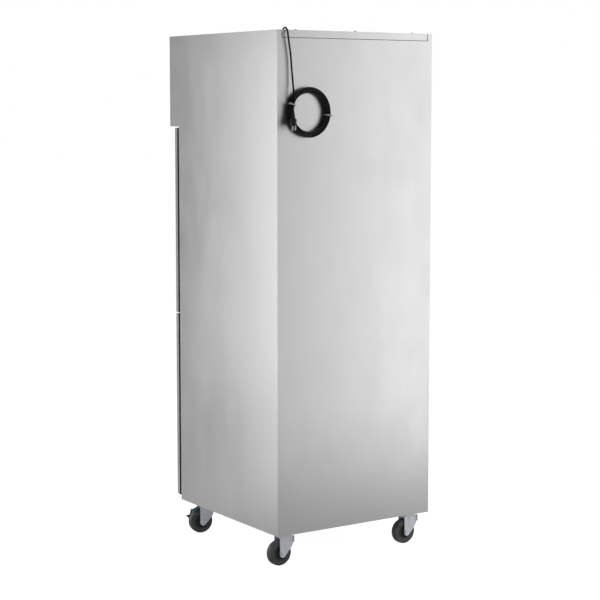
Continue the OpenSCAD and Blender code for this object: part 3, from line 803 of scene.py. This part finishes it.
def make_wheel(name):
    """Rubber tyre with stepped side walls on a dark core, both turned round the axle."""
    w, boss = 16, LEG_Y - 0.6
    half = [(50, 0), (49.9, 8), (49.3, 11.4), (47.6, 14), (45, 15.2), (41, 15.5), (39.6, 14.5),
            (38.2, 14.5), (36.8, 15.7), (32.6, 15.9), (30.8, 15.2), (29.6, 13.8), (29, 11)]
    tyre = lathe("tyre", half + [(r, -h) for r, h in reversed(half[1:])], 96, 28)
    place(tyre, along_y(TRAIL, WHEEL_R))
    face = [(29.2, 0), (29.2, 12.2), (28, 14.8), (26, 15.6), (24, 14.8), (22.6, 12),
            (21.4, 9.4), (16, 9), (14.2, 9.8), (12.6, 12.2), (12, boss), (5.4, boss)]
    core = lathe("core", face + [(r, -h) for r, h in reversed(face[1:])], 72, 28)
    place(core, along_y(TRAIL, WHEEL_R))
    webs = []
    for side in (-1, 1):
        for k in range(6):
            web = rounded_box("web", (13, -1.1, 8.6), (23, 1.1, 10.6), 0.5, 2)
            turn = Matrix.Rotation(math.radians(60 * k), 4, "Z")
            flip = Matrix.Rotation(math.radians(180 if side < 0 else 0), 4, "X")
            webs.append(place(web, along_y(TRAIL, WHEEL_R) @ flip @ turn))
    core = join(name + "_core", [core, *webs])
    tyre.name = name + "_tyre"
    for piece, material in ((tyre, tyre_rubber), (core, hub_plastic)):
        place(piece, caster_matrix(name))
        finish_piece(piece, name + "_roller", material, "wheel_rubber")
    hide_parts(name + "_wheel")


def make_pedal(name, side):
    """Brake plate over the wheel, pressed hollow in its middle, and a black toe lever beside it."""
    tilt = Matrix.Translation((PIVOT[0], 0, PIVOT[1])) @ Matrix.Rotation(math.radians(24), 4, "Y")
    plate = rounded_box("plate", (1, -13, 2.4), (39.5, 13, 4.2), 0.8)
    rims = [rounded_box("rim", (4, y - 1.3, 3.6), (39.2, y + 1.3, 5.4), 0.8) for y in (-11.7, 11.7)]
    nose = rounded_box("nose", (36.4, -13, 3.2), (39.5, 13, 5.4), 0.9)
    arm = rounded_box("arm", (29.5, min(side * 8, side * 22.6), 2.4),
                      (39.4, max(side * 8, side * 22.6), 4.8), 0.8)
    parts = [place(part, tilt) for part in (plate, *rims, nose, arm)]
    eye = lathe("eye", [(3.1, -13.8), (5.5, -13.8), (5.8, -13.4), (5.8, 13.4), (5.5, 13.8),
                        (3.1, 13.8)], 32)
    parts.append(place(eye, along_y(*PIVOT)))
    pedal = join(name + "_brake_plate", parts)
    pad = place(rounded_box("pad", (8, -9.6, 4), (35.5, 9.6, 5.0), 0.6), tilt)
    lever_outline = [(50, 98), (59, 94), (60, 85), (62, 78), (66, 74.4), (72, 73.4), (78, 73),
                     (79, 71.4), (78.4, 69), (72, 66), (67, 60), (64, 58.2), (61.6, 58.6),
                     (58, 66), (55, 76), (50, 87)]
    lever = place(prism("lever", lever_outline, 5, 1, 3), Matrix.Translation((0, side * 20.5, 0)))
    toe = join(name + "_brake_toe", [lever, pad])
    for piece, material in ((pedal, zinc_blue), (toe, lever_plastic)):
        place(piece, caster_matrix(name))
        finish_piece(piece, name + "_brake", material, "zinc")
    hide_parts(name + "_pedal")


def make_caster_plates():
    """Rounded top plates, and the ball races and king pins under them; the races' near-black colour is
    painted shade for the gap under each plate.
    """
    plates, races = [], []
    for name in CASTERS:
        joint = next(j for j in frame["joints"] if j["child"] == name + "_swivel")
        spot = Matrix.Translation((*joint["pos_m"][:2], 0)) @ Matrix.Scale(MM, 4)
        plate = rounded_box("plate", (-46, -35, 127), (46, 35, 130), 0.9)
        race = lathe("race", [(0, 108), (4.9, 108), (4.9, 120), (22, 120), (24, 121.5),
                              (24, 123), (23, 124.2), (24, 125.4), (24, 127.5), (0, 127.5)], 56)
        nut = hexagon("nut", 8, 5)
        place(nut, Matrix.Translation((0, 0, 106.5)))
        plates.append(place(plate, spot))
        races += [place(race, spot), place(nut, spot)]
    plates = join("caster_top_plates", plates)
    races = join("caster_races", races)
    finish_piece(plates, "root", zinc, "zinc", "caster_plates")
    finish_piece(races, "root", race_painted_shade, "zinc")


def make_caster_bolts():
    """Chamfered heads under the plates and nuts above the base pan, one piece for all."""
    low, high = corners("caster_bolts")
    parts = []
    for name in CASTERS:
        joint = next(j for j in frame["joints"] if j["child"] == name + "_swivel")
        x, y = joint["pos_m"][:2]
        for dx in (-36, 36):
            for dy in (-25, 25):
                head = hexagon("head", 6.5, 5.5)
                place(head, Matrix.Rotation(math.radians(180), 4, "X"))
                shank = lathe("shank", [(0, 0), (4, 0), (4, 13), (3.2, 14), (0, 14)], 16)
                nut = hexagon("nut", 6.5, 6)
                place(nut, Matrix.Translation((0, 0, 5)))
                for part in (head, shank, nut):
                    spot = Matrix.Translation((x, y, high.z - 11 * MM))
                    at = Matrix.Translation((dx, dy, 0))
                    parts.append(place(part, spot @ Matrix.Scale(MM, 4) @ at))
    bolts = join("caster_fixings", parts)
    finish_piece(bolts, "root", screw_metal, "zinc", "caster_bolts")


# ---- doors ----

def make_door(name):
    body = name + "_door"
    low, high = corners(name + "_door_skin")
    # sheet wrapped round the front and both sides, its top and bottom closed by black caps
    bm = box_bmesh(low + Vector((0, 0, 1 * MM)), high - Vector((0, 0, 1 * MM)))
    bevelled(bm, 5 * MM, 5, lambda e: all(v.co.y < low.y + 1e-6 for v in e.verts)
             and abs(e.verts[0].co.z - e.verts[1].co.z) > 0.1)
    open_sides = [f for f in bm.faces if f.normal.y > 0.9 or abs(f.normal.z) > 0.9]
    bmesh.ops.delete(bm, geom=open_sides, context="FACES")
    bmesh.ops.solidify(bm, geom=bm.faces[:], thickness=1.2 * MM)
    skin = from_bmesh(name + "_door_sheet", bm, 30)
    finish_piece(skin, body, steel_door, "stainless", name + "_door_skin")
    caps = []
    for z in (low.z, high.z - 4 * MM):
        outline = [(low.x + 1 * MM, high.y), (low.x + 1 * MM, low.y + 6 * MM),
                   (low.x + 2.6 * MM, low.y + 2.6 * MM), (low.x + 6 * MM, low.y + 1 * MM),
                   (high.x - 6 * MM, low.y + 1 * MM), (high.x - 2.6 * MM, low.y + 2.6 * MM),
                   (high.x - 1 * MM, low.y + 6 * MM), (high.x - 1 * MM, high.y)]
        cap = prism("cap", outline, 4 * MM, 0.8 * MM)
        lay = Matrix.Rotation(math.radians(-90), 4, "X")
        caps.append(place(cap, Matrix.Translation((0, 0, z + 2 * MM)) @ lay))

    low, high = corners(name + "_door_liner")
    frame_y = high.y
    mid = corners(name + "_door_skin")[1].y
    back = corners(name + "_door_gasket")[0].y
    dyke = 34 * MM
    profile = [(0, 0), (0, back - mid - 1.5 * MM), (1.5 * MM, back - mid), (dyke - 3 * MM, back - mid),
               (dyke, back - mid + 3 * MM), (dyke + 3 * MM, frame_y - mid),
               (dyke + 40 * MM, frame_y - mid), (dyke + 42 * MM, frame_y - mid - 2 * MM),
               (dyke + 46 * MM, frame_y - mid - 2 * MM), (dyke + 46 * MM, 0)]
    rim = frame_sweep("rim", low, high, mid, profile, 35)
    inner = dyke + 45 * MM
    panel = rounded_box(name + "_door_panel", (low.x + inner, mid, low.z + inner),
                        (high.x - inner, frame_y - 2.4 * MM, high.z - inner), 0.8 * MM)
    liner = join(name + "_door_inner", [rim, *caps])
    finish_piece(liner, body, black_band_and_seam_shade, "black_plastic", name + "_door_liner")
    finish_piece(panel, body, steel_liner, "stainless")

    low, high = corners(name + "_door_gasket")
    d = high.y - low.y
    bellows = [(0.0015, 0), (0.0185, 0), (0.0185, 0.12 * d), (0.0165, 0.3 * d), (0.019, 0.45 * d),
               (0.0165, 0.6 * d), (0.0198, 0.78 * d), (0.0198, 0.97 * d), (0.019, d), (0.001, d),
               (0.0002, 0.97 * d), (0.0002, 0.78 * d), (0.0035, 0.6 * d), (0.001, 0.45 * d),
               (0.0035, 0.3 * d), (0.0015, 0.12 * d)]
    gasket = frame_sweep(name + "_door_seal", low, high, low.y, bellows, 60)
    finish_piece(gasket, body, gasket_rubber, "gasket_rubber", name + "_door_gasket")
    make_handle(name)
    make_door_hinge(name)


def make_handle(name):
    """A bowed grip with domed ends on two turned posts with base collars."""
    low, high = corners(name + "_door_handle")
    x = (low.x + high.x) / 2
    grip_r = (high.x - low.x) / 2
    length = high.z - low.z
    grip = [(0, 0), (grip_r * 0.6, 0), (grip_r * 0.92, 1.2 * MM), (grip_r, 3.5 * MM)]
    grip += [(grip_r * 0.97, length * 0.3), (grip_r * 0.97, length * 0.7)]
    grip += [(grip_r, length - 3.5 * MM), (grip_r * 0.92, length - 1.2 * MM),
             (grip_r * 0.6, length), (0, length)]
    bar = lathe("bar", grip, 40)
    place(bar, Matrix.Translation((x, low.y + grip_r, low.z)))
    posts = []
    for z in (low.z + 25 * MM, high.z - 25 * MM):
        depth = high.y - low.y - grip_r
        post = lathe("post", [(0, 0), (6.4 * MM, 0), (7 * MM, depth * 0.5), (7 * MM, depth - 5 * MM),
                              (11 * MM, depth - 4 * MM), (11.5 * MM, depth - 1 * MM),
                              (11.5 * MM, depth), (0, depth)], 32)
        posts.append(place(post, along_y(x, z, low.y + grip_r)))
    handle = join(name + "_door_pull", [bar, *posts])
    finish_piece(handle, name + "_door", handle_metal, "stainless", name + "_door_handle")


def screw_head(name, radius, height):
    """Domed head with a cross recess sunk into it, lying on z = 0."""
    profile = [(0, -0.2)] + [(radius, -0.2), (radius, 0.25 * height)]
    profile += [
        (radius * math.cos(a), 0.25 * height + 0.75 * height * math.sin(a))
        for a in [math.radians(15 * k) for k in range(1, 5)]
    ]
    profile += [(radius * 0.3, height), (0, height)]
    head = lathe(name, profile, 28, 50)
    arms = []
    for k in range(2):
        arm = rounded_box("arm", (-radius * 0.45, -radius * 0.09, height - 0.02),
                          (radius * 0.45, radius * 0.09, height + 0.12), 0.05, 1)
        place(arm, Matrix.Rotation(math.radians(90 * k + 20), 4, "Z"))
        arms.append(arm)
    return join(name, [head, *arms])


def make_door_hinge(name):
    """Door leaves: plates with rounded corners, their knuckles and three screws each."""
    low, high = corners(name + "_door_hinge")
    leaf_h = 60 * MM
    knuckle = 6.5
    parts = []
    for z0 in (low.z, high.z - leaf_h):
        # corners() of the pair reach over both leaves; the knuckles stand at their middles
        plate = prism("plate", rounded_rect(46, 60, 4), 4, 0.8, 3)
        place(plate, Matrix.Translation((-327.5, -387, z0 / MM + 30)))
        strap = rounded_box("strap", (-361, -389, z0 / MM + 20.2), (-346, -385.2, z0 / MM + 39.8), 0.6)
        ring = lathe("ring", [(4.05, 20.1), (knuckle, 20.1), (knuckle, 39.9), (4.05, 39.9)], 36)
        place(ring, Matrix.Translation((-361, -385, z0 / MM)))
        parts += [plate, strap, ring]
        for dz in (12, 30, 48):
            head = screw_head("head", 4, 1.6)
            place(head, Matrix.Translation((-322, -389, z0 / MM + dz))
                  @ Matrix.Rotation(math.radians(90), 4, "X"))
            parts.append(head)
    hinge = join(name + "_door_leaves", parts)
    place(hinge, Matrix.Scale(MM, 4))
    finish_piece(hinge, name + "_door", steel_frame, "stainless", name + "_door_hinge")


# ---- head: screws and controls ----

def make_seam_shade_strip():
    """A near-black strip behind the seam between the top cover's skirt and the rear panel: painted shade
    that makes the seam read dark.
    """
    notch = 348 * MM
    seam = TOP_Z - 30 * MM
    back, front = REAR_Y - 7.6 * MM, REAR_Y - 2.4 * MM
    # these pieces are painted shade filling the seam, not a real seal
    parts = [rounded_box("seal", (-notch + 1 * MM, back, seam - 5 * MM),
                         (notch - 1 * MM, front, seam + 6 * MM), 0.8 * MM)]
    for side in (-1, 1):
        x = sorted((side * (notch - 0.6 * MM), side * (notch - 7 * MM)))
        parts.append(rounded_box("seal", (x[0], back, seam), (x[1], front, TOP_Z - 4 * MM), 0.8 * MM))
    seal = join("seam_shade_strip", parts)
    finish_piece(seal, "root", black_band_and_seam_shade, "gasket_rubber")


def make_top_screws():
    low, high = corners("top_cover_screws")
    y = (low.y + high.y) / 2
    heads = []
    for x in (low.x + 5 * MM, 0, high.x - 5 * MM):
        head = screw_head("head", 5, 3)
        place(head, Matrix.Translation((x, y, TOP_Z)) @ Matrix.Scale(MM, 4))
        shank = lathe("shank", [(0, -12), (1.6, -12), (2.4, -9), (2.4, 0), (0, 0)], 16)
        place(shank, Matrix.Translation((x, y, TOP_Z)) @ Matrix.Scale(MM, 4))
        heads += [head, shank]
    screws = join("cover_screws", heads)
    finish_piece(screws, "root", screw_dark, "stainless", "top_cover_screws")


def make_knob(name):
    """Skirted knob with finger flutes and a raised pointer."""
    low, high = corners(name)
    x = (low.x + high.x) / 2
    face_y = HEAD_Y
    z = TOP_Z - 182 * MM
    profile = [(0, 0), (21, 0), (21, 3), (20.2, 4.2), (18.2, 5)]
    body = lathe("skirt", profile + [(17.4, 12), (16.6, 19.2), (15.2, 20), (0, 20)], 72)
    flutes = []
    for k in range(14):
        flute = lathe("flute", [(0, 4), (1.7, 4), (1.7, 18.6), (1.2, 19.6), (0, 19.6)], 12)
        turn = Matrix.Rotation(2 * math.pi * k / 14, 4, "Z")
        flutes.append(place(flute, turn @ Matrix.Translation((17, 0, 0))))
    pointer = rounded_box("pointer", (-1.6, 1.5, 19), (1.6, 16, 22.6), 0.7)
    stem = lathe("stem", [(0, -22), (3.6, -22), (3.6, 1), (0, 1)], 20)
    knob = join(name + "_grip", [body, *flutes, pointer, stem])
    place(knob, Matrix.Translation((x, face_y - 2 * MM, z))
          @ Matrix.Rotation(math.radians(90), 4, "X") @ Matrix.Scale(MM, 4))
    finish_piece(knob, name, knob_plastic, "black_plastic", name)


def make_controls():
    low, high = corners("display_window")
    glass = rounded_box("display_glass", low, high, 1.2 * MM)
    finish_piece(glass, "root", glass_dark, "dark_glass", "display_window")
    edge = Vector((3 * MM, 0, 3 * MM))
    bezel_profile = [(0, 0), (0, -1.2 * MM), (0.8 * MM, -2 * MM), (2.6 * MM, -2 * MM), (3.2 * MM, 0)]
    bezel = frame_sweep("display_bezel", low - edge, high + edge, HEAD_Y, bezel_profile)
    finish_piece(bezel, "root", black_plastic, "black_plastic")

    low, high = corners("pilot_lamps")
    z = (low.z + high.z) / 2
    lamps = []
    for x in (low.x + 5 * MM, high.x - 5 * MM):
        dome = [(0, 5.4)] + [
            (4.8 * math.cos(a), 0.8 + 4.6 * math.sin(a))
            for a in [math.radians(15 * k) for k in range(5, -1, -1)]
        ]
        lamp = lathe("lamp", dome + [(4.8, -13), (0, -13)], 32)
        place(lamp, Matrix.Translation((x, HEAD_Y, z)) @ Matrix.Rotation(math.radians(90), 4, "X")
              @ Matrix.Scale(MM, 4))
        lamps.append(lamp)
    lamps = join("lamp_lenses", lamps)
    finish_piece(lamps, "root", lens_amber, "lamp_lens", "pilot_lamps")

    low, high = corners("power_switch")
    x, z = (low.x + high.x) / 2, TOP_Z - 182 * MM
    rocker_parts = []
    pivot_y = HEAD_Y + 8 * MM
    face = [(-20, -30), (20, -30)]
    outline = arc(0, 0, 13, -32, 212, 26)
    paddle = prism("paddle", outline, 17.6, 0.8, 3)
    place(paddle, Matrix.Rotation(math.radians(90), 4, "Z"))
    place(paddle, Matrix.Rotation(math.radians(-82), 4, "X"))
    rocker_parts.append(paddle)
    rocker = join("rocker", rocker_parts)
    place(rocker, Matrix.Translation((x, pivot_y, z)) @ Matrix.Scale(MM, 4))
    finish_piece(rocker, "power_switch", switch_gloss, "switch_plastic", "power_switch")
    seat_low = Vector((x - 13 * MM, 0, z - 15 * MM))
    seat_high = Vector((x + 13 * MM, 0, z + 15 * MM))
    seat_profile = [(0, 0), (0, -1.4 * MM), (0.7 * MM, -2 * MM), (2.6 * MM, -2 * MM), (3 * MM, 0)]
    seat = frame_sweep("switch_bezel", seat_low, seat_high, HEAD_Y, seat_profile)
    finish_piece(seat, "root", black_plastic, "black_plastic")
    for name in ("temperature_knob", "humidity_knob"):
        make_knob(name)


# ---- hinges on the body ----

def make_pins():
    """Hinge pins with domed ends."""
    low, high = corners("hinge_pins")
    zs = sorted({round(v.co.z, 5) for v in NODES["hinge_pins"].data.vertices})
    starts = [z for z in zs if not any(0 < z - other < 0.05 for other in zs)]
    pins = []
    for z in starts:
        pin = lathe("pin", [(0, 0), (5, 0), (6, 0.7), (6, 2), (4, 2), (4, 61.2), (3.4, 62), (0, 62)], 28)
        place(pin, Matrix.Translation((-361 * MM, -385 * MM, z)) @ Matrix.Scale(MM, 4))
        pins.append(pin)
    pins = join("pins", pins)
    finish_piece(pins, "root", screw_metal, "stainless", "hinge_pins")


# ---- stage ----

def soft_box(name, spot, target, width, height, power):
    """A rectangular area light that looks at target and isn't seen by the camera itself."""
    data = bpy.data.lights.new(name, "AREA")
    data.shape = "RECTANGLE"
    data.size = width
    data.size_y = height
    data.energy = power
    light = bpy.data.objects.new(name, data)
    light.location = spot
    light.rotation_mode = "QUATERNION"
    light.rotation_quaternion = (Vector(target) - Vector(spot)).to_track_quat("-Z", "Y")
    light.visible_camera = False
    bpy.context.scene.collection.objects.link(light)


def make_stage():
    """White floor and surroundings, with tall soft boxes close to each side of the cabinet."""
    bpy.context.scene.view_settings.view_transform = "Standard"
    world = bpy.data.worlds.new("studio")
    bpy.context.scene.world = world
    world.use_nodes = True
    nodes, links = world.node_tree.nodes, world.node_tree.links
    fill = nodes["Background"]
    fill.inputs["Strength"].default_value = 0.22
    white = nodes.new("ShaderNodeBackground")
    white.inputs["Strength"].default_value = 1.0
    for shader in (fill, white):
        shader.inputs["Color"].default_value = (1, 1, 1, 1)
    path = nodes.new("ShaderNodeLightPath")
    mix = nodes.new("ShaderNodeMixShader")
    links.new(path.outputs["Is Camera Ray"], mix.inputs[0])
    links.new(fill.outputs[0], mix.inputs[1])
    links.new(white.outputs[0], mix.inputs[2])
    links.new(mix.outputs[0], nodes["World Output"].inputs["Surface"])

    bpy.ops.mesh.primitive_plane_add(size=60)
    floor = bpy.context.object
    floor.name = "floor"
    paint = bpy.data.materials.new("floor_paint")
    paint.use_nodes = True
    nodes, links = paint.node_tree.nodes, paint.node_tree.links
    bsdf = nodes["Principled BSDF"]
    bsdf.inputs["Base Color"].default_value = (0.45, 0.45, 0.45, 1)
    bsdf.inputs["Roughness"].default_value = 0.9
    bsdf.inputs["Specular IOR Level"].default_value = 0.0
    bsdf.inputs["Emission Color"].default_value = (1, 1, 1, 1)
    path = nodes.new("ShaderNodeLightPath")
    glow = nodes.new("ShaderNodeMapRange")
    glow.inputs["To Min"].default_value = 0.18
    glow.inputs["To Max"].default_value = 0.92
    links.new(path.outputs["Is Camera Ray"], glow.inputs["Value"])
    links.new(glow.outputs["Result"], bsdf.inputs["Emission Strength"])
    floor.data.materials.append(paint)

    soft_box("rear_far", (-1.4, 1.7, 1.2), (-1.4, 0, 1.2), 0.8, 2.4, 9.4)
    soft_box("rear_near", (-0.6, 1.7, 1.2), (-0.6, 0, 1.2), 0.8, 2.4, 4.4)
    soft_box("rear_high", (-1.4, 1.7, 2.9), (-1.4, 0, 2.9), 0.8, 0.8, 7)
    soft_box("side_near", (1.5, -0.6, 1.15), (0, -0.6, 1.15), 0.7, 2.3, 12.5)
    soft_box("side_far", (1.5, -1.3, 1.35), (0, -1.3, 1.35), 0.7, 2.0, 4)
    soft_box("front", (-0.5, -3.2, 1.4), (0, 0, 1.1), 2.4, 2.8, 24)
    soft_box("left", (-2.6, -0.4, 1.4), (0, 0, 1.1), 2.0, 2.8, 17)
    soft_box("above", (0, 0, 3.6), (0, 0, 2), 1.6, 1.6, 16)


make_camera()
make_lead()
dress_cad_nodes()
for caster, (side, _) in CASTERS.items():
    braked = caster.startswith("front")
    make_fork(caster, braked)
    make_wheel(caster)
    if braked:
        make_pedal(caster, -side)
make_caster_plates()
make_caster_bolts()
make_seam_shade_strip()
for door in ("upper", "lower"):
    make_door(door)
make_pins()
make_top_screws()
make_controls()
make_stage()
